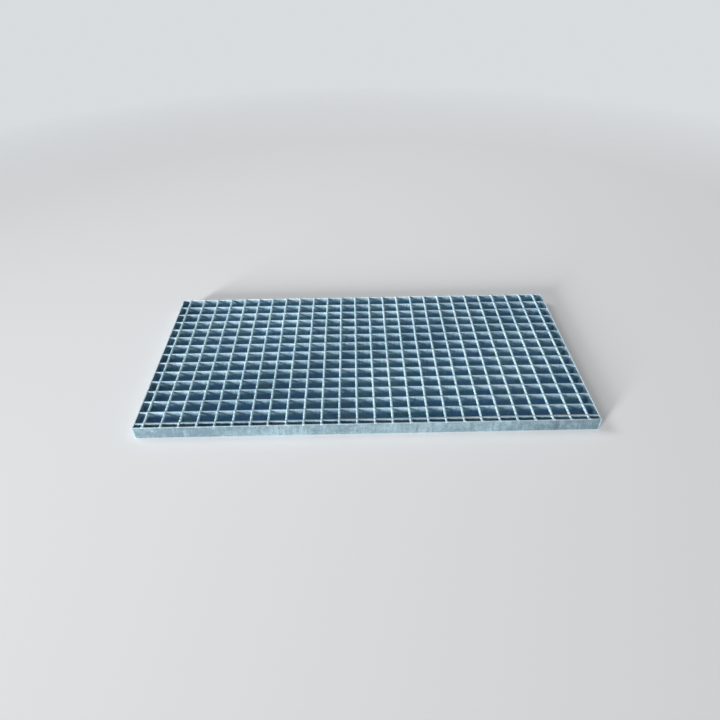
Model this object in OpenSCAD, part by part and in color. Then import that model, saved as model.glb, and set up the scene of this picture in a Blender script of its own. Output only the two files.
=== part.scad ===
// Steel grating panel, pressure-welded and banded on all four sides.
// Deep flat bearing bars run along X. Square rods, twisted before welding, run
// along Y and are pressed into the bars' top edges. Two long bands close the
// rods' ends, and two short bands close the ends of the bars and the long bands.
// The panel lies on z = 0, centred on X and Y.

/* [Panel] */
// Overall length, along the bearing bars
panel_length = 1000; // [300:10:2000]
// Overall width, across the bearing bars
panel_width = 498; // [200:1:1200]

/* [Bearing bars] */
// Depth of a bearing bar, and of the bands
bar_depth = 30; // [20:1:60]
// Thickness of a bearing bar
bar_thickness = 3; // [2:0.5:5]
// Spacing of the bearing bars, centre to centre
bar_pitch = 34.3; // [25:0.1:60]
// Outer front face of the panel to the centre of the first bearing bar
front_margin = 14.4; // [12:0.1:30]

/* [Cross rods] */
// Side of the square rod that is twisted
rod_side = 4; // [3:0.5:8]
// Spacing of the cross rods, centre to centre
rod_pitch = 38.1; // [30:0.1:110]
// Outer left face of the panel to the centre of the first cross rod
left_margin = 21.5; // [16:0.1:35]
// Height of the rod's twisted corners above the bars' top edges
rod_rise = 0.3; // [0:0.1:0.7]

/* [Banding bars] */
// Thickness of a banding bar
band_thickness = 3; // [2:0.5:4]

/* [Rolled edges] */
// Bevel that stands for the rounded long edges of every flat bar
edge_bevel = 0.4; // [0.2:0.1:0.6]

/* [Welds] */
// Height of the weld over a rod's end above the band's top edge
nugget_rise = 1; // [0.5:0.1:1.5]
// How far that weld stops short of the band's outer face
nugget_inset = 0.2; // [0.1:0.1:0.5]
// Leg of the fillet at a bearing bar's end and inside a band corner
fillet_leg = 2.5; // [1:0.5:4]
// Length of a fillet up the bar
fillet_length = 16; // [5:1:16]
// Top of a fillet below the bar's top edge
fillet_drop = 1.5; // [1:0.5:3]

/* [Hidden] */

zinc = "#b4c3ca";
// A twisted square rod of the same section area, as a prism with this many sides
rod_sides = 8;
rod_radius = rod_side / sqrt(rod_sides / 2 * sin(360 / rod_sides));
rod_axis_z = bar_depth + rod_rise - rod_side / sqrt(2);

// Clear space inside the bands
inner_length = panel_length - 2 * band_thickness;
inner_width = panel_width - 2 * band_thickness;

// As many bars and rods as fit between the bands at their pitch
bar_room = panel_width - band_thickness - bar_thickness / 2 - front_margin;
bar_count = floor(bar_room / bar_pitch) + 1;
rod_room = panel_length - band_thickness - rod_radius - left_margin;
rod_count = floor(rod_room / rod_pitch) + 1;

// The ball of weld over a rod's end is centred on the band's inner face
nugget_radius = band_thickness - nugget_inset;
nugget_z = bar_depth + nugget_rise - nugget_radius;
// Segments drawn round that ball
nugget_segments = 24;

function bar_y(index) = -panel_width / 2 + front_margin + index * bar_pitch;
function rod_x(index) = -panel_length / 2 + left_margin + index * rod_pitch;

// Flat bar standing on its edge along X, centred on the origin, edges bevelled
module flat_bar(length, thickness) {
    half = thickness / 2;
    rotate([90, 0, 90])
        linear_extrude(height = length, center = true)
            polygon([
                [-half + edge_bevel, 0],
                [half - edge_bevel, 0],
                [half, edge_bevel],
                [half, bar_depth - edge_bevel],
                [half - edge_bevel, bar_depth],
                [-half + edge_bevel, bar_depth],
                [-half, bar_depth - edge_bevel],
                [-half, edge_bevel]
            ]);
}

// Cross rod along Y, centred on the origin, with a flat side on top
module cross_rod() {
    rotate([90, 0, 0])
        rotate([0, 0, 180 / rod_sides])
            cylinder(h = inner_width, r = rod_radius, center = true, $fn = rod_sides);
}

// Upright fillet in the corner where a flat bar along X meets a band at x = 0.
// The bar comes from -X, and the fillet is on its +Y side.
module fillet_weld(thickness) {
    half = thickness / 2;
    translate([0, 0, bar_depth - fillet_drop - fillet_length])
        linear_extrude(height = fillet_length)
            polygon([[0, 0], [-fillet_leg, 0], [-fillet_leg, half], [0, half + fillet_leg]]);
}

// Both ends of a flat bar between the short bands, with a fillet at each
module fillets_at_ends(thickness) {
    for (end = [0, 1])
        mirror([end, 0, 0])
            translate([inner_length / 2, 0, 0])
                fillet_weld(thickness);
}

// Balls of weld over the front ends of all rods, cut to lie on the front band
module rod_end_welds() {
    difference() {
        for (index = [0 : rod_count - 1])
            translate([rod_x(index), -inner_width / 2, nugget_z])
                sphere(r = nugget_radius, $fn = nugget_segments);
        translate([0, -(panel_width - band_thickness) / 2, 0])
            flat_bar(inner_length, band_thickness);
    }
}

// The welded mat: every bearing bar and cross rod, fused where they cross,
// with the welds that hold it to the bands
module bar_grid() {
    color(zinc)
        union() {
            for (index = [0 : bar_count - 1])
                translate([0, bar_y(index), 0]) {
                    flat_bar(inner_length, bar_thickness);
                    mirror([0, 1, 0])
                        fillets_at_ends(bar_thickness);
                }
            for (index = [0 : rod_count - 1])
                translate([rod_x(index), 0, rod_axis_z])
                    cross_rod();
            for (side = [0, 1])
                mirror([0, side, 0])
                    rod_end_welds();
        }
}

// Long banding bar at the front, over the ends of the cross rods
module long_band() {
    color(zinc)
        translate([0, -(panel_width - band_thickness) / 2, 0])
            union() {
                flat_bar(inner_length, band_thickness);
                fillets_at_ends(band_thickness);
            }
}

// Short banding bar at the left, over the ends of the bearing bars and long bands
module short_band() {
    color(zinc)
        translate([-(panel_length - band_thickness) / 2, 0, 0])
            rotate([0, 0, 90])
                flat_bar(panel_width, band_thickness);
}

module front_band() {
    long_band();
}

module back_band() {
    mirror([0, 1, 0])
        long_band();
}

module left_band() {
    short_band();
}

module right_band() {
    mirror([1, 0, 0])
        short_band();
}

bar_grid();
front_band();
back_band();
left_band();
right_band();
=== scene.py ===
# Galvanised steel grating panel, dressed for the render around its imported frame.
import math

import bpy
import numpy as np
from mathutils import Matrix, Vector


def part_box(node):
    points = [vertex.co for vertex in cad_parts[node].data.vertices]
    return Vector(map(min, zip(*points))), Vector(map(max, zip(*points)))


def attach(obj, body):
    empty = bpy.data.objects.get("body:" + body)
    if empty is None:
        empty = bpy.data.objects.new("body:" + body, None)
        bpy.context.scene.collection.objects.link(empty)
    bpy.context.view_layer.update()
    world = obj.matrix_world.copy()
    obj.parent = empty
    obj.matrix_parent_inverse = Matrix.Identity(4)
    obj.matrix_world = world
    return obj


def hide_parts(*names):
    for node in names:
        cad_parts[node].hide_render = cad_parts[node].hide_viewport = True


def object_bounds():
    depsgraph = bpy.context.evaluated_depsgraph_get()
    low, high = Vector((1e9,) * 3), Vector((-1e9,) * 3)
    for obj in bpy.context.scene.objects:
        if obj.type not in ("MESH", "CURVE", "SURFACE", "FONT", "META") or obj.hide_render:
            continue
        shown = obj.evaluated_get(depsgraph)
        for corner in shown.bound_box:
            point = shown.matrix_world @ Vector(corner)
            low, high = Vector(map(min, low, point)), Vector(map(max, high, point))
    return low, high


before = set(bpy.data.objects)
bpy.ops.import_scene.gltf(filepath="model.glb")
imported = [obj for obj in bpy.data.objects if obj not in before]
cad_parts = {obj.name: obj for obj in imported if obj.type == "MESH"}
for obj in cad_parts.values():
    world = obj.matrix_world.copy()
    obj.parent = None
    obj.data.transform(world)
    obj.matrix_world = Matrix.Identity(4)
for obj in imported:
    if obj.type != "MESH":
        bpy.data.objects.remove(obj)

cad_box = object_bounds()

# ---------------------------------------------------------------- sizes, metres
MM = 0.001

left_lo, left_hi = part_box("left_band")
right_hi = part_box("right_band")[1]

X_LEFT, X_RIGHT = left_lo.x, right_hi.x
Y_FRONT, Y_BACK = left_lo.y, left_hi.y
DEPTH = left_hi.z
BAND_THICKNESS = left_hi.x - left_lo.x
TOP_LIMIT = cad_box[1].z

# Sizes that the frame doesn't give, as the part's source names them
BAR_THICKNESS = 3.0 * MM
BAR_PITCH = 34.3 * MM
FRONT_MARGIN = 14.4 * MM
ROD_SIDE = 4.0 * MM
ROD_PITCH = 38.1 * MM
LEFT_MARGIN = 21.5 * MM
ROD_RISE = 0.3 * MM
FILLET_LEG = 2.5 * MM
FILLET_LENGTH = 16 * MM
FILLET_DROP = 1.5 * MM

INNER_LEFT, INNER_RIGHT = X_LEFT + BAND_THICKNESS, X_RIGHT - BAND_THICKNESS
INNER_FRONT, INNER_BACK = Y_FRONT + BAND_THICKNESS, Y_BACK - BAND_THICKNESS
ROD_REACH = ROD_SIDE / math.sqrt(2)
ROD_AXIS_Z = DEPTH + ROD_RISE - ROD_REACH

BAR_YS = np.arange(Y_FRONT + FRONT_MARGIN, INNER_BACK - BAR_THICKNESS / 2, BAR_PITCH)
ROD_XS = np.arange(X_LEFT + LEFT_MARGIN, INNER_RIGHT - ROD_SIDE / 2, ROD_PITCH)

# Every random draw comes from here, so the order of the pieces below matters
rng = np.random.default_rng(3438)


# ---------------------------------------------------------------- mesh helpers
# Faces that meet at more than this angle, in degrees, keep a sharp edge
SHARP_ANGLE = 50
# Share of a sine in a wavy line, before it is divided by the sine's order
WAVE_SHARE = (0.4, 1.0)


def loft_parts(rings):
    """Points and outward faces of one closed shell through rings of equal length."""
    rings = np.asarray(rings, float)
    count, size = rings.shape[:2]
    here = np.arange(size)
    after = (here + 1) % size
    faces = []
    for row in range(count - 1):
        low, high = row * size, (row + 1) * size
        corners = [low + here, low + after, high + after, high + here]
        faces += np.stack(corners, 1).tolist()
    faces.append(here[::-1].tolist())
    faces.append(((count - 1) * size + here).tolist())
    points = rings.reshape(-1, 3)
    quads = np.array(faces[:-2])
    a, b, c, d = (points[quads[:, k]] for k in range(4))
    volume = np.sum(a * (np.cross(b, c) + np.cross(c, d)))
    if volume < 0:
        faces = [face[::-1] for face in faces]
    return points, faces


def build_piece(name, shells, material, nodes, edge=None, inward=None):
    """One mesh object from closed shells, riding the panel in place of CAD nodes.

    edge is how much each point is rubbed bright and painted as highlight, and inward is 1
    where it faces a cell.
    """
    points, faces, start = [], [], 0
    for shell_points, shell_faces in shells:
        points.append(shell_points)
        faces += [[start + k for k in face] for face in shell_faces]
        start += len(shell_points)
    mesh = bpy.data.meshes.new(name)
    mesh.from_pydata(np.concatenate(points).tolist(), [], faces)
    for key, values in (("edge", edge), ("inward", inward)):
        if values is not None:
            layer = mesh.attributes.new(key, "FLOAT", "POINT")
            layer.data.foreach_set("value", np.asarray(values, np.float32))
    mesh.shade_smooth()
    mesh.set_sharp_from_angle(angle=math.radians(SHARP_ANGLE))
    mesh.materials.append(material)
    mesh.update()
    piece = bpy.data.objects.new(name, mesh)
    bpy.context.collection.objects.link(piece)
    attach(piece, "root")
    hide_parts(*nodes)


def waves(where, count, longest, amplitude):
    """Smooth random waviness along a line: a few sines with random phase."""
    total = np.zeros_like(where)
    for order in range(1, count + 1):
        phase = rng.uniform(0, 2 * math.pi)
        share = rng.uniform(*WAVE_SHARE) / order
        total += share * np.sin(2 * math.pi * order * where / longest + phase)
    return amplitude * total


def turned(shell, matrix):
    """The same shell, moved by a 4 x 4 matrix."""
    points, faces = shell
    rotation = np.array(matrix.to_3x3())
    return points @ rotation.T + np.array(matrix.translation), faces


def unit(angle):
    """The unit vector at an angle in a plane."""
    return np.array([math.cos(angle), math.sin(angle)])


# ---------------------------------------------------------------- flat bars
EDGE_RADIUS = 0.55 * MM
# Heights of the points up a face, as shares of the depth
FACE_LEVELS = (0.04, 0.16, 0.35, 0.55, 0.73, 0.87, 0.955)
# Wear and painted highlight fade out this many edge radii from an edge, and are at least
# this at bar ends
WEAR_AND_HIGHLIGHT_REACH = 2.2
END_WEAR_AND_HIGHLIGHT = 0.45
# The top edge dips by up to about this, in waves of this count, length and height,
# and the dip dies away down the face by this power of the height
TOP_DIP = 0.12 * MM
TOP_WAVES = (6, 0.17, 0.5)
TOP_DIP_POWER = 8

# Stations along a bearing bar, either side of each crossing
CROSSING_STATIONS = MM * np.array(
    [-7, -5, -3.6, -2.4, -1.2, 0, 1.2, 2.4, 3.6, 5, 7, 11, 15, 19, 23, 27])
# Where a rod was pressed in, each side of the bar swells by this many mm, centred on
# the rod within this spread in mm, over this length along the bar. It starts at this
# share of the depth and is full after this share more.
SWELL = (0.25, 0.6)
SWELL_OFFSET = 0.5
SWELL_LENGTH = 3.4 * MM
SWELL_FROM, SWELL_OVER = 0.62, 0.3
# A bearing bar bows sideways by up to this many mm
BOW = 0.35

# Stations along a band are this far apart
BAND_STEP = 5 * MM
# A band's faces lie this far back behind its rounded edges, and this share more in a
# long wave of this length and phase. From the edges inwards that takes this distance.
BAND_INSET = 0.08 * MM
INSET_SHARE, INSET_WAVE, INSET_PHASE = 0.6, 0.043, 1.7
FACE_FADE = 2 * MM
# The bead of zinc along a band's bottom edge: how far it stands out, how high it is,
# the depth of its dips as a share, and the count, length and height of its waves
BEAD = 0.16 * MM
BEAD_HEIGHT = 1.8 * MM
BEAD_DIPS = 0.6
BEAD_WAVES = (9, 0.31, 0.8)


def section(thickness):
    """Rounded outline of a flat bar: offsets across and up, and how much each is rubbed
    bright and painted as highlight.
    """
    half, r = thickness / 2, EDGE_RADIUS
    levels = [r, *(DEPTH * share for share in FACE_LEVELS), DEPTH - r]
    side = [(half, z) for z in levels]
    bend = r * (1 - math.sqrt(0.5))
    ring = side + [(half - bend, DEPTH - bend), (half - r, DEPTH), (r - half, DEPTH)]
    ring += [(bend - half, DEPTH - bend)] + [(-y, z) for y, z in side[::-1]]
    ring += [(bend - half, bend), (r - half, 0), (half - r, 0), (half - bend, bend)]
    across, up = np.array(ring).T
    wear_and_highlight_share = np.clip(1 - np.minimum(up, DEPTH - up) / (WEAR_AND_HIGHLIGHT_REACH * r), 0, 1)
    return across, up, wear_and_highlight_share


def flat_bar(start, end, thickness, stations, bulge=None, bow=0.0, inset=0.0, bead=0.0):
    """Shell of a bar along X from start to end, centred on y = 0, and its edge rubbing and
    painted highlight.
    """
    across, up, wear_and_highlight_share = section(thickness)
    between = stations[(stations > start) & (stations < end)]
    x = np.unique(np.concatenate([[start, end], between]))
    half = np.tile(np.abs(across), (len(x), 1))
    if bulge is not None:
        near_top = np.clip((up / DEPTH - SWELL_FROM) / SWELL_OVER, 0, 1) ** 2
        half += bulge(x)[:, None] * near_top
    face = np.clip((np.minimum(up, DEPTH - up) - EDGE_RADIUS) / FACE_FADE, 0, 1)
    if inset:
        drift = 0.5 * (1 + np.sin(x / INSET_WAVE + INSET_PHASE))
        half -= inset * face
        half -= inset * face * INSET_SHARE * drift[:, None]
    if bead:
        low = np.clip(1 - up / BEAD_HEIGHT, 0, 1)
        ripple = 0.5 + 0.5 * np.clip(waves(x, *BEAD_WAVES), -1, 1)
        half -= bead * (1 - low) * face
        half -= bead * BEAD_DIPS * low * (1 - ripple)[:, None]
    sideways = bow * np.sin(math.pi * (x - start) / (end - start))
    y = np.sign(across) * half + sideways[:, None]
    top_dip = np.clip(0.5 * (1 + waves(x, *TOP_WAVES)) * TOP_DIP, 0, None)
    z = up - top_dip[:, None] * (up / DEPTH) ** TOP_DIP_POWER
    rings = np.stack([np.repeat(x[:, None], len(up), 1), y, z], 2)
    wear_and_highlight_share = np.tile(wear_and_highlight_share, (len(x), 1))
    # Bar ends take at least this much rubbing and painted highlight
    wear_and_highlight_share[[0, -1]] = np.maximum(wear_and_highlight_share[0], END_WEAR_AND_HIGHLIGHT)
    return loft_parts(rings), wear_and_highlight_share.ravel()


def bearing_bars(material):
    """The deep bars, each swollen a little where a rod was pressed into it."""
    stations = (ROD_XS[:, None] + CROSSING_STATIONS).ravel()
    for number, y in enumerate(BAR_YS, 1):
        swell = rng.uniform(*SWELL, len(ROD_XS)) * MM
        offset = rng.normal(0, SWELL_OFFSET, len(ROD_XS)) * MM

        def bulge(x):
            reach = (x[:, None] - ROD_XS - offset) / SWELL_LENGTH
            return (swell * np.exp(-reach ** 2)).sum(1)

        bow = rng.uniform(-BOW, BOW) * MM
        shell, wear_and_highlight_share = flat_bar(
            INNER_LEFT, INNER_RIGHT, BAR_THICKNESS, stations, bulge, bow)
        shell = turned(shell, Matrix.Translation((0, y, 0)))
        name = f"bearing_bar_{number:02d}"
        build_piece(name, [shell], material, ["bar_grid"], wear_and_highlight_share, np.ones(len(wear_and_highlight_share)))


def band(side, start, end, cell_side, matrix, material):
    """One banding bar, made along X and moved by the matrix to its side of the panel.

    cell_side is the sign of y on which it faces the cells, before it is moved.
    """
    middle = np.arange(start, end, BAND_STEP)[1:-1]
    stations = np.concatenate([[start + MM], middle, [end - MM]])
    shell, wear_and_highlight_share = flat_bar(
        start, end, BAND_THICKNESS, stations, inset=BAND_INSET, bead=BEAD)
    inward = (shell[0][:, 1] * cell_side > 0).astype(float)
    shell = turned(shell, matrix)
    build_piece(f"{side}_banding_bar", [shell], material, [f"{side}_band"], wear_and_highlight_share, inward)


def bands(front_material, back_material, side_material):
    """Two long bands along X and two short ones along Y."""
    middle = BAND_THICKNESS / 2
    for side, y, cell_side, material in (
            ("front", Y_FRONT + middle, 1, front_material),
            ("back", Y_BACK - middle, -1, back_material)):
        place = Matrix.Translation((0, y, 0))
        band(side, INNER_LEFT, INNER_RIGHT, cell_side, place, material)
    quarter = Matrix.Rotation(math.pi / 2, 4, "Z")
    for side, x, cell_side in (
            ("left", X_LEFT + middle, -1),
            ("right", X_RIGHT - middle, 1)):
        place = Matrix.Translation((x, 0, 0)) @ quarter
        band(side, Y_FRONT, Y_BACK, cell_side, place, side_material)


# ---------------------------------------------------------------- cross rods
# Length of one full turn of the twist, and how much it varies from rod to rod
TWIST_LAY = 40 * MM
LAY_SHARE = (0.96, 1.04)
# Distance between the rings of points along a rod
RING_STEP = 1.25 * MM
CORNER_RADIUS = 0.4 * MM
# Angle from the middle of a rounded corner to its first and last point, in degrees
CORNER_HALF = 35
# Count, length and height of a rod's sideways waves
SWAY_WAVES = (4, 0.4, 0.25 * MM)


def rod_section():
    """Rounded square outline, centred, with three points at each corner."""
    ring = []
    for corner in (45, 135, 225, 315):
        middle = (ROD_REACH - CORNER_RADIUS) * unit(math.radians(corner))
        for turn in (-CORNER_HALF, 0, CORNER_HALF):
            ring.append(middle + CORNER_RADIUS * unit(math.radians(corner + turn)))
    return np.array(ring)


def cross_rods(material):
    """Square rods twisted about their own axis, all to the same hand."""
    outline = rod_section()
    count = int(round((INNER_BACK - INNER_FRONT) / RING_STEP))
    y = np.linspace(INNER_FRONT, INNER_BACK, count + 1)
    along = np.repeat(y[:, None], len(outline), 1)
    for number, x in enumerate(ROD_XS, 1):
        lay = TWIST_LAY * rng.uniform(*LAY_SHARE)
        turn = 2 * math.pi * y / lay + rng.uniform(0, math.pi)
        c, s = np.cos(turn)[:, None], np.sin(turn)[:, None]
        across = c * outline[:, 0] - s * outline[:, 1]
        up = s * outline[:, 0] + c * outline[:, 1]
        sway = waves(y, *SWAY_WAVES)[:, None]
        rings = np.stack([x + sway + across, along, ROD_AXIS_Z + up], 2)
        shell = loft_parts(rings)
        build_piece(f"cross_rod_{number:02d}", [shell], material, ["bar_grid"])


# ---------------------------------------------------------------- welds
# Balls and the ends of fillets stop this angle, in radians, short of a point
POLE_GAP = 0.12

# A collar of metal squeezed up round a rod: places along the rod, the radius at each,
# and the number of points round it
COLLAR_ALONG = MM * np.array([-4.0, -3.1, -2.3, -1.5, 0, 1.5, 2.3, 3.1, 4.0])
COLLAR_RADII = MM * np.array([1.9, 2.4, 2.8, 3.1, 3.2, 3.1, 2.8, 2.4, 1.9])
COLLAR_SIDES = 14
# Its length and girth vary by these shares, its surface by this spread as a share,
# and its place across the rod by this spread in mm
COLLAR_STRETCH = (0.8, 1.15)
COLLAR_GIRTH = (0.93, 1.06)
COLLAR_ROUGH = 0.05
COLLAR_OFFSET = 0.2
# Its top is pressed down to this height over the bars, and keeps this share of what
# was higher
COLLAR_RISE = 0.25 * MM
COLLAR_CROWN = 0.1

# How a rod's end weld laps over a band's edge: it draws back from this far below
# the bars' top, by this much for each unit further down, bends over this length, and
# stays this far inside the band's outer face
LAP_START = 0.2 * MM
LAP_SLOPE = 0.45
LAP_SOFT = 0.9 * MM
LAP_GAP = 0.02 * MM

# A rod's end weld, in mm: half its length along the band, half its width and half its
# height, and how far its middle lies right of the rod, out on the band and below the top
LUMP_LENGTH, LUMP_WIDTH, LUMP_HEIGHT = (3.6, 4.9), (3.3, 3.8), 2.3
LUMP_RIGHT, LUMP_OUT, LUMP_DOWN = (0.2, 1.6), (0.4, 0.9), (2.35, 2.6)
LUMP_ROUGH, LUMP_ROWS, LUMP_COLUMNS = 0.04, 15, 24
# The tail of that weld round the rod, in mm: half its size and the shares by which
# that varies, and how far its middle lies inside the band and above the rod's axis
TAIL_SIZE = (2.8, 3.6, 2.5)
TAIL_SHARE = (0.9, 1.1)
TAIL_IN, TAIL_UP = (2.2, 3.4), 0.4
TAIL_ROUGH, TAIL_ROWS, TAIL_COLUMNS = 0.03, 11, 20

# A fillet's number of rings, its regular ripple and its spread of random ripple, and a
# ring's outline in shares of the leg: along the first wall, and out along the second
FILLET_ROWS = 15
FILLET_RIPPLE, RIPPLE_STEP, FILLET_ROUGH = 0.12, 2.1, 0.06
FILLET_OUTLINE = np.array([
    (-0.35, -0.35), (1.0, -0.35), (0.86, 0.3), (0.55, 0.55), (0.3, 0.86), (-0.35, 1.0)])


def round_points(count):
    """Angles of that many points, evenly round a circle."""
    return np.linspace(0, 2 * math.pi, count, endpoint=False)


def ball(centre, radii, rough, rows, columns):
    """A lumpy closed ball, kept below the panel's highest point."""
    lat = np.linspace(POLE_GAP, math.pi - POLE_GAP, rows)
    lon = round_points(columns)
    lump = rng.uniform(0, 2 * math.pi, 3)
    bumps = 1 + rough * (np.sin(2 * lon + lump[0]) + np.sin(3 * lon + lump[1]))
    bumps = bumps + rough * np.sin(2 * lat + lump[2])[:, None]
    direction = np.stack([
        np.sin(lat)[:, None] * np.cos(lon),
        np.sin(lat)[:, None] * np.sin(lon),
        np.cos(lat)[:, None] * np.ones(columns)], 2)
    points = np.array(centre) + direction * np.array(radii) * bumps[:, :, None]
    points[:, :, 2] = np.minimum(points[:, :, 2], TOP_LIMIT)
    return loft_parts(points)


def over_edge(shell, face):
    """A lump of weld, pressed back softly to lie over the top edge of a band's face."""
    points, faces = shell
    points = points.copy()
    out = math.copysign(1, face)
    proud = (points[:, 1] - face) * out
    below = np.clip(DEPTH - LAP_START - points[:, 2], 0, None)
    start = -LAP_SOFT - LAP_SLOPE * below
    over = np.clip(proud - start, 0, None)
    proud = np.minimum(proud, start) + (LAP_SOFT - LAP_GAP) * np.tanh(over / LAP_SOFT)
    points[:, 1] = face + proud * out
    return points, faces


def crossing_welds(material):
    """Metal squeezed up around each rod where it sinks into a bar."""
    lon = round_points(COLLAR_SIDES)
    shells = []
    for x in ROD_XS:
        for y in BAR_YS:
            stretch = rng.uniform(*COLLAR_STRETCH)
            rough = 1 + rng.normal(0, COLLAR_ROUGH, (len(COLLAR_ALONG), len(lon)))
            radius = COLLAR_RADII[:, None] * rough * rng.uniform(*COLLAR_GIRTH)
            px = x + rng.normal(0, COLLAR_OFFSET) * MM + radius * np.cos(lon)
            pz = ROD_AXIS_Z + radius * np.sin(lon)
            pz = np.minimum(pz, DEPTH + COLLAR_RISE + COLLAR_CROWN * (pz - DEPTH))
            py = np.repeat((y + COLLAR_ALONG * stretch)[:, None], len(lon), 1)
            shells.append(loft_parts(np.stack([px, py, pz], 2)))
    build_piece("crossing_welds", shells, material, ["bar_grid"])


def rod_end_welds(material):
    """A lump of weld over each rod's end, spilling on to the band's top edge."""
    shells = []
    for inner, outer in ((INNER_FRONT, Y_FRONT), (INNER_BACK, Y_BACK)):
        inward = math.copysign(1, -outer)
        for x in ROD_XS:
            radii = (rng.uniform(*LUMP_LENGTH), rng.uniform(*LUMP_WIDTH), LUMP_HEIGHT)
            centre = (x + rng.uniform(*LUMP_RIGHT) * MM,
                      inner - inward * rng.uniform(*LUMP_OUT) * MM,
                      TOP_LIMIT - rng.uniform(*LUMP_DOWN) * MM)
            lump = ball(centre, np.array(radii) * MM,
                        LUMP_ROUGH, LUMP_ROWS, LUMP_COLUMNS)
            shells.append(over_edge(lump, outer))
            y = inner + inward * rng.uniform(*TAIL_IN) * MM
            radii = np.array(TAIL_SIZE) * MM * rng.uniform(*TAIL_SHARE)
            shells.append(ball((x, y, ROD_AXIS_Z + TAIL_UP * MM), radii,
                               TAIL_ROUGH, TAIL_ROWS, TAIL_COLUMNS))
    build_piece("rod_end_welds", shells, material, ["bar_grid"])


def fillet(corner, along, out):
    """An upright rippled bead in a corner, with legs in the directions along and out."""
    z = DEPTH - FILLET_DROP - np.linspace(0, FILLET_LENGTH, FILLET_ROWS)
    along, out = np.array(along), np.array(out)
    fade = np.sqrt(np.sin(np.linspace(POLE_GAP, math.pi - POLE_GAP, FILLET_ROWS)))
    ripple = 1 + FILLET_RIPPLE * np.sin(np.arange(FILLET_ROWS) * RIPPLE_STEP)
    ripple = ripple + rng.normal(0, FILLET_ROUGH, FILLET_ROWS)
    leg = FILLET_LEG * fade * ripple
    outline = FILLET_OUTLINE[:, :1] * along + FILLET_OUTLINE[:, 1:] * out
    rings = []
    for height, size in zip(z, leg):
        plan = np.array(corner) + size * outline
        rings.append(np.column_stack([plan, np.full(len(plan), height)]))
    return loft_parts(rings)


def fillet_welds(material):
    """Upright welds at the ends of the bearing bars and inside the four corners."""
    shells = []
    half = BAR_THICKNESS / 2
    for y in BAR_YS:
        shells.append(fillet((INNER_LEFT, y - half), (1, 0), (0, -1)))
        shells.append(fillet((INNER_RIGHT, y - half), (-1, 0), (0, -1)))
    build_piece("bar_end_welds", shells, material, ["bar_grid"])
    for side, y, out in (("front", INNER_FRONT, 1), ("back", INNER_BACK, -1)):
        corners = [fillet((INNER_LEFT, y), (1, 0), (0, out)),
                   fillet((INNER_RIGHT, y), (-1, 0), (0, out))]
        build_piece(f"{side}_corner_welds", corners, material, [f"{side}_band"])


# ---------------------------------------------------------------- node helpers
def srgb(red, green, blue):
    """An 8-bit display colour as linear RGBA."""
    out = []
    for value in (red, green, blue):
        share = value / 255
        low = share <= 0.04045
        out.append(share / 12.92 if low else ((share + 0.055) / 1.055) ** 2.4)
    return (*out, 1.0)


class Nodes:
    """Short names for the nodes that a material or the world is made of."""

    # Nearly all of a noise texture lies between these values
    NOISE_LOW, NOISE_HIGH = 0.3, 0.7

    def __init__(self, owner):
        owner.use_nodes = True
        self.tree = owner.node_tree
        self.tree.nodes.clear()

    def add(self, kind, **settings):
        node = self.tree.nodes.new(kind)
        for key, value in settings.items():
            setattr(node, key, value)
        return node

    def feed(self, socket, value):
        """Link an output to the socket, or set the socket to a plain value."""
        if isinstance(value, bpy.types.NodeSocket):
            self.tree.links.new(value, socket)
        else:
            socket.default_value = value

    def math(self, operation, *values, clamp=False):
        node = self.add("ShaderNodeMath", operation=operation, use_clamp=clamp)
        for socket, value in zip(node.inputs, values):
            self.feed(socket, value)
        return node.outputs[0]

    def vector(self, operation, *values):
        node = self.add("ShaderNodeVectorMath", operation=operation)
        for socket, value in zip(node.inputs, values):
            self.feed(socket, value)
        return node.outputs

    def remap(self, value, low, high, new_low, new_high):
        node = self.add("ShaderNodeMapRange")
        keys = ("Value", "From Min", "From Max", "To Min", "To Max")
        for key, number in zip(keys, (value, low, high, new_low, new_high)):
            self.feed(node.inputs[key], number)
        return node.outputs[0]

    def swing(self, noise, new_low, new_high):
        return self.remap(noise, self.NOISE_LOW, self.NOISE_HIGH, new_low, new_high)

    def noise(self, vector, scale, detail, roughness, output="Fac"):
        node = self.add("ShaderNodeTexNoise")
        keys = ("Vector", "Scale", "Detail", "Roughness")
        for key, value in zip(keys, (vector, scale, detail, roughness)):
            self.feed(node.inputs[key], value)
        return node.outputs[output]

    def mix(self, share, first, second):
        node = self.add("ShaderNodeMix", data_type="RGBA")
        for index, value in ((0, share), (6, first), (7, second)):
            self.feed(node.inputs[index], value)
        return node.outputs[2]

    def object_place(self):
        return self.add("ShaderNodeTexCoord").outputs["Object"]

    def axes(self, vector):
        node = self.add("ShaderNodeSeparateXYZ")
        self.feed(node.inputs[0], vector)
        return node.outputs

    def attribute(self, name):
        return self.add("ShaderNodeAttribute", attribute_name=name).outputs["Fac"]

    def output(self, kind, shader):
        self.feed(self.add(kind).inputs["Surface"], shader)


# ---------------------------------------------------------------- zinc
# The noises in the zinc, from the broadest to the finest: scale, detail, roughness
NOISES = {
    "broad": (4.2, 1, 0.5),
    "area": (13, 1, 0.55),
    "cloud": (26, 4, 0.6),
    "patch": (75, 3, 0.6),
    "fleck": (270, 2, 0.6),
    "grain": (900, 2, 0.6),
}
# Upright runs: a noise drawn out in height. Their strength follows the area noise:
# between its first two values here it goes from the third to the fourth.
RUNS_STRETCH = (210, 210, 12)
RUNS_NOISE = (1.0, 3, 0.6)
RUNS_AREAS = (0.42, 0.6, 0.25, 1.0)
# Spangle: crystals of this scale, with their outlines shifted by a noise
SPANGLE_SCALE = 105
SHIFT_NOISE = (160, 2.0, 0.5)
SHIFT = (0.006, 0.006, 0.006)

# The share of the pale colour that each crystal starts from, and how much each noise
# adds or takes away. A material gives its own number for areas.
SPANGLE_SHARE = (0.4, 0.6)
REACHES = {"broad": 0.25, "area": 0.0, "cloud": 0.18, "patch": 0.2, "fleck": 0.32}

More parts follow.
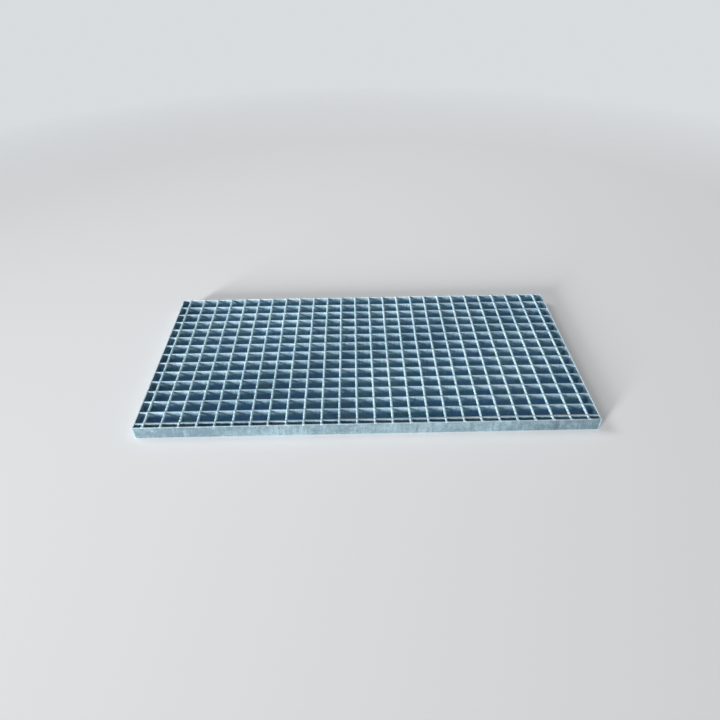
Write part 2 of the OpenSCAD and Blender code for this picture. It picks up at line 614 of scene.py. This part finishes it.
# Distances from the panel's middle between which a band gets darker to its ends, a painted
# shade for the light falling off there
END_SHADE_FROM, END_SHADE_TO = 0.2, 0.42
# A scratch: its colour and strength, the distances from its middle where it is full
# and gone, and how far it wanders
SCRATCH_COLOUR = srgb(70, 90, 102)
SCRATCH_STRENGTH = 0.75
SCRATCH_FULL, SCRATCH_GONE = 0.6 * MM, 1.8 * MM
SCRATCH_DRIFT = 1.2 * MM
# Painted shade on the lower part of faces inside the cells: full below and gone above
# these shares of the depth, uneven by patch and by area, and of two tones by cloud
SHADE_FULL, SHADE_GONE = 0.38, 0.77
SHADE_BY_PATCH, SHADE_BY_AREA = (0.65, 1.3), (0.7, 1.3)
SHADE_CLOUDS = (0.4, 0.6)
# The two colours of that painted shade, blue and green
PAINTED_SHADE_BLUE, PAINTED_SHADE_GREEN = srgb(88, 152, 203), srgb(93, 157, 174)
# The least that an edge is rubbed bright and painted as highlight, as a share of the
# material's amount of both
LEAST_WEAR_AND_HIGHLIGHT = 0.6

# How much the spangle and the clouds change the roughness
GLOSS_SPANGLE, GLOSS_CLOUD = 0.07, 0.06
# Relief is patches, with these shares of grain and spangle
RELIEF_GRAIN, RELIEF_SPANGLE = 0.35, 0.12
BUMP_STRENGTH, BUMP_DISTANCE = 0.5, 0.4 * MM
METALLIC = 0.35


def zinc_patterns(n, place):
    """The noises by name, the upright runs, and the spangle's value in each crystal."""
    patterns = {name: n.noise(place, *values) for name, values in NOISES.items()}
    drawn_out = n.vector("MULTIPLY", place, RUNS_STRETCH)[0]
    patterns["runs"] = n.noise(drawn_out, *RUNS_NOISE)
    shift = n.noise(place, *SHIFT_NOISE, output="Color")
    shifted = n.vector("ADD", place, n.vector("MULTIPLY", shift, SHIFT)[0])[0]
    crystals = n.add("ShaderNodeTexVoronoi", feature="F1")
    n.feed(crystals.inputs["Scale"], SPANGLE_SCALE)
    n.feed(crystals.inputs["Vector"], shifted)
    parts = n.add("ShaderNodeSeparateColor")
    n.feed(parts.inputs[0], crystals.outputs["Color"])
    patterns["spangle"] = parts.outputs[0]
    return patterns


def zinc(name, pale, dull, roughness, streak=0.0, patchy=0.0, wear_and_highlight_colour=None,
         wear_and_highlight=0.0, depth_shade=0.0, painted_end_shade=0.0, cell_side=None, scratches=()):
    """Hot-dip zinc: spangle, cloudy dull patches, faint runs, edges brightened by rubbing
    and painted highlight, and painted shade low in the cells and towards a band's ends.

    cell_side is the dull and the pale colour of faces inside the cells, where they
    differ, a paler copy of the zinc painted on for how those faces are lit, and scratches
    are the places of upright scratches along X.
    """
    material = bpy.data.materials.new(name)
    n = Nodes(material)
    place = n.object_place()
    x, _, z = n.axes(place)
    patterns = zinc_patterns(n, place)
    spangle, area = patterns["spangle"], patterns["area"]
    cloud, patch = patterns["cloud"], patterns["patch"]

    share = n.remap(spangle, 0, 1, *SPANGLE_SHARE)
    for key, reach in {**REACHES, "area": patchy}.items():
        if reach:
            share = n.math("ADD", share, n.swing(patterns[key], -reach, reach))
    if streak:
        streaks = n.swing(patterns["runs"], -streak, streak)
        streaks = n.math("MULTIPLY", streaks, n.remap(area, *RUNS_AREAS))
        share = n.math("ADD", share, streaks)
    # Painted shade: the band darkens towards its ends, where the light falls off
    if painted_end_shade:
        from_middle = n.math("ABSOLUTE", x)
        end_shade = n.remap(from_middle, END_SHADE_FROM, END_SHADE_TO, 0, painted_end_shade)
        share = n.math("SUBTRACT", share, end_shade)
    share = n.math("ADD", share, 0, clamp=True)
    colour = n.mix(share, dull, pale)

    for across in scratches:
        drift = n.swing(patch, -SCRATCH_DRIFT, SCRATCH_DRIFT)
        off = n.math("ADD", n.math("SUBTRACT", x, across), drift)
        off = n.math("ABSOLUTE", off)
        scratch = n.remap(off, SCRATCH_FULL, SCRATCH_GONE, SCRATCH_STRENGTH, 0)
        colour = n.mix(scratch, colour, SCRATCH_COLOUR)
    # Lit and shaded copies of one zinc: a band's faces towards the cells painted paler
    # than its outer faces
    if cell_side:
        colour = n.mix(n.attribute("inward"), colour, n.mix(share, *cell_side))
    # Painted shade: faces towards the cells go dark blue-green low down, where shade falls
    if depth_shade:
        low = n.remap(z, SHADE_FULL * DEPTH, SHADE_GONE * DEPTH, 1.0, 0.0)
        low = n.math("MULTIPLY", low, n.swing(patch, *SHADE_BY_PATCH))
        low = n.math("MULTIPLY", low, n.swing(area, *SHADE_BY_AREA))
        low = n.math("MULTIPLY", low, n.attribute("inward"))
        tone = n.remap(cloud, *SHADE_CLOUDS, 0, 1)
        dark = n.mix(tone, PAINTED_SHADE_BLUE, PAINTED_SHADE_GREEN)
        colour = n.mix(n.math("MULTIPLY", low, depth_shade, clamp=True), colour, dark)
    # Edges go paler: partly real rubbing of the zinc, partly a painted highlight where
    # rounded edges catch the light
    if wear_and_highlight:
        uneven = n.swing(patch, wear_and_highlight * LEAST_WEAR_AND_HIGHLIGHT, wear_and_highlight)
        wear_and_highlight_share = n.math("MULTIPLY", n.attribute("edge"), uneven, clamp=True)
        colour = n.mix(wear_and_highlight_share, colour, wear_and_highlight_colour)

    gloss = n.remap(spangle, 0, 1, -GLOSS_SPANGLE, GLOSS_SPANGLE)
    gloss = n.math("ADD", gloss, n.swing(cloud, GLOSS_CLOUD, -GLOSS_CLOUD))
    gloss = n.math("ADD", gloss, roughness, clamp=True)

    relief = n.math("ADD", n.math("MULTIPLY", patterns["grain"], RELIEF_GRAIN), patch)
    relief = n.math("ADD", relief, n.math("MULTIPLY", spangle, RELIEF_SPANGLE))
    bump = n.add("ShaderNodeBump")
    n.feed(bump.inputs["Strength"], BUMP_STRENGTH)
    n.feed(bump.inputs["Distance"], BUMP_DISTANCE)
    n.feed(bump.inputs["Height"], relief)

    shader = n.add("ShaderNodeBsdfPrincipled")
    n.feed(shader.inputs["Metallic"], METALLIC)
    n.feed(shader.inputs["Base Color"], colour)
    n.feed(shader.inputs["Roughness"], gloss)
    n.feed(shader.inputs["Normal"], bump.outputs[0])
    n.output("ShaderNodeOutputMaterial", shader.outputs[0])
    return material


# ---------------------------------------------------------------- stage
FLOOR_COLOUR = srgb(218, 220, 222)
FLOOR_HALF = 3.0
FLOOR_Z = -0.2 * MM
# The floor's own brightness for the camera: around the panel, and under it, where it is
# lower as a painted shadow
FLOOR_GLOW, FLOOR_GLOW_PAINTED_SHADOW = 0.25, 0.10
# Distances from the panel's middle between which the floor fades into the backdrop
FADE_START, FADE_END = 1.7, 2.7

SKY_COLOUR = (0.92, 0.955, 0.985, 1.0)
SKY_STRENGTH = 0.10
BACKDROP_STRENGTH = 0.75

# The key light, low at the front left and aimed at the panel's left end
KEY_PLACE, KEY_TARGET = (-5.58, -6.90, 1.56), (-0.5, 0.25, 0)
KEY_SIZE = (1.6, 3.0)
KEY_POWER = 81
KEY_SPREAD = 38
# The soft light from above: where it comes from, and how wide it is in degrees
TOP_DIRECTION = (-0.75, 0.25, 0.62)
TOP_STRENGTH = 1.1
TOP_WIDTH = 25

# The photo's view: down over the front edge, from a little left of the middle
CAMERA_PLACE = (-0.01895, -1.11523, 0.90012)
CAMERA_FORWARD = (0.005052, 0.77961, -0.626245)
CAMERA_UP = (0.01895, 0.626066, 0.77954)
SENSOR_WIDTH, FOCAL_LENGTH = 36.0, 28.746


def seen_directly(n):
    """1 for rays that show the background itself: camera, glossy and transmission."""
    path = n.add("ShaderNodeLightPath").outputs
    seen = n.math("MAXIMUM", path["Is Camera Ray"], path["Is Glossy Ray"])
    return n.math("MAXIMUM", seen, path["Is Transmission Ray"])


def around_panel(n, place):
    """1 outside the middle line of the bands, seen from above, and 0 inside it."""
    x, y, _ = n.axes(place)
    half_length = INNER_RIGHT + BAND_THICKNESS / 2
    half_width = INNER_BACK + BAND_THICKNESS / 2
    shares = (n.math("DIVIDE", n.math("ABSOLUTE", x), half_length),
              n.math("DIVIDE", n.math("ABSOLUTE", y), half_width))
    return n.math("GREATER_THAN", n.math("MAXIMUM", *shares), 1.0)


def floor_material():
    """Matt, glowing a little for the camera but less under the panel as a painted shadow,
    and clear far from the panel.
    """
    material = bpy.data.materials.new("studio_floor")
    n = Nodes(material)
    place = n.object_place()
    matt = n.add("ShaderNodeBsdfDiffuse")
    n.feed(matt.inputs["Color"], FLOOR_COLOUR)
    # Painted shadow: less camera glow on the floor under the panel
    strength = n.remap(around_panel(n, place), 0, 1, FLOOR_GLOW_PAINTED_SHADOW, FLOOR_GLOW)
    glow = n.add("ShaderNodeEmission")
    n.feed(glow.inputs["Strength"], n.math("MULTIPLY", seen_directly(n), strength))
    both = n.add("ShaderNodeAddShader")
    n.feed(both.inputs[0], matt.outputs[0])
    n.feed(both.inputs[1], glow.outputs[0])
    distance = n.vector("LENGTH", place)["Value"]
    fade = n.add("ShaderNodeMixShader")
    n.feed(fade.inputs[0], n.remap(distance, FADE_START, FADE_END, 0, 1))
    n.feed(fade.inputs[1], both.outputs[0])
    n.feed(fade.inputs[2], n.add("ShaderNodeBsdfTransparent").outputs[0])
    n.output("ShaderNodeOutputMaterial", fade.outputs[0])
    return material


def studio_floor():
    """A pale floor that keeps the panel's shadow and melts into the backdrop."""
    corners = [(x * FLOOR_HALF, y * FLOOR_HALF, FLOOR_Z)
               for x, y in ((-1, -1), (1, -1), (1, 1), (-1, 1))]
    mesh = bpy.data.meshes.new("studio_floor")
    mesh.from_pydata(corners, [], [(0, 1, 2, 3)])
    mesh.materials.append(floor_material())
    floor = bpy.data.objects.new("studio_floor", mesh)
    bpy.context.collection.objects.link(floor)


def studio_world():
    """Even soft light from all round, shown as a pale backdrop."""
    world = bpy.data.worlds.new("studio")
    bpy.context.scene.world = world
    n = Nodes(world)
    background = n.add("ShaderNodeBackground")
    n.feed(background.inputs["Color"], SKY_COLOUR)
    strength = n.remap(seen_directly(n), 0, 1, SKY_STRENGTH, BACKDROP_STRENGTH)
    n.feed(background.inputs["Strength"], strength)
    n.output("ShaderNodeOutputWorld", background.outputs[0])


def new_lamp(name, light, toward):
    """A lamp whose light goes in the given direction."""
    lamp = bpy.data.objects.new(name, light)
    bpy.context.collection.objects.link(lamp)
    lamp.rotation_mode = "QUATERNION"
    lamp.rotation_quaternion = Vector(toward).to_track_quat("-Z", "Y")
    return lamp


def key_light():
    """A soft box behind a grid, which narrows its light to its spread in degrees."""
    light = bpy.data.lights.new("key", "AREA")
    light.shape = "RECTANGLE"
    light.size, light.size_y = KEY_SIZE
    light.energy = KEY_POWER
    light.spread = math.radians(KEY_SPREAD)
    lamp = new_lamp("key", light, Vector(KEY_TARGET) - Vector(KEY_PLACE))
    lamp.location = KEY_PLACE


def overhead_light():
    """A wide soft sun, even over the whole floor."""
    light = bpy.data.lights.new("overhead", "SUN")
    light.energy = TOP_STRENGTH
    light.angle = math.radians(TOP_WIDTH)
    new_lamp("overhead", light, -Vector(TOP_DIRECTION))


def camera():
    """The camera at the photo's viewing angle."""
    forward = Vector(CAMERA_FORWARD).normalized()
    right = forward.cross(Vector(CAMERA_UP)).normalized()
    up = right.cross(forward)
    data = bpy.data.cameras.new("camera")
    data.sensor_width = SENSOR_WIDTH
    data.lens = FOCAL_LENGTH
    data.clip_start, data.clip_end = 0.01, 100.0
    eye = bpy.data.objects.new("camera", data)
    bpy.context.collection.objects.link(eye)
    basis = Matrix((right, up, -forward)).transposed().to_4x4()
    basis.translation = CAMERA_PLACE
    eye.matrix_world = basis
    bpy.context.scene.camera = eye


# ---------------------------------------------------------------- the panel
# The bars, bands and side bands are one zinc in lit and shaded copies: the bars painted
# paler and the bands darker, for how differently their faces are lit
BAR_PALE, BAR_DULL = srgb(186, 214, 228), srgb(118, 151, 170)
BAND_PALE, BAND_DULL = srgb(154, 178, 187), srgb(104, 126, 137)
# A pale colour for edges, partly rubbing and partly painted highlight
PALE_WEAR_AND_HIGHLIGHT = srgb(236, 246, 250)

bar_zinc = zinc(
    "zinc_bars", BAR_PALE, BAR_DULL, 0.56, streak=0.4, patchy=0.35,
    wear_and_highlight_colour=srgb(162, 188, 202), wear_and_highlight=0.9, depth_shade=0.8)
front_zinc = zinc(
    "zinc_front", BAND_PALE, BAND_DULL, 0.56, streak=0.4,
    wear_and_highlight_colour=srgb(184, 211, 220), wear_and_highlight=0.9, depth_shade=0.8,
    painted_end_shade=0.4, scratches=(0.404, 0.4085))
# The back band's faces towards the cells are painted with the bars' paler zinc, its outer
# faces darker
back_zinc = zinc(
    "zinc_back", BAND_PALE, BAND_DULL, 0.56, streak=0.4,
    wear_and_highlight_colour=PALE_WEAR_AND_HIGHLIGHT, wear_and_highlight=1.0, depth_shade=0.8, cell_side=(BAR_DULL, BAR_PALE))
side_zinc = zinc(
    "zinc_sides", srgb(146, 176, 191), srgb(98, 125, 140), 0.54, streak=0.4,
    wear_and_highlight_colour=PALE_WEAR_AND_HIGHLIGHT, wear_and_highlight=1.0, depth_shade=0.6)
# The rods' zinc is painted near white, paler than the bars': a painted highlight for the
# light their twisted faces catch
rod_zinc = zinc("zinc_rods", srgb(226, 251, 255), srgb(188, 223, 238), 0.54)
weld_zinc = zinc("zinc_welds", srgb(200, 222, 232), srgb(156, 186, 200), 0.5)
# The fillets' zinc is the welds' zinc painted darker: painted shade on these welds in the
# cells' corners
fillet_zinc = zinc("zinc_fillets", srgb(158, 184, 198), srgb(112, 140, 156), 0.56)

bearing_bars(bar_zinc)
bands(front_zinc, back_zinc, side_zinc)
cross_rods(rod_zinc)
crossing_welds(weld_zinc)
rod_end_welds(weld_zinc)
fillet_welds(fillet_zinc)

studio_floor()
studio_world()
key_light()
overhead_light()
camera()
bpy.context.scene.view_settings.view_transform = "Standard"
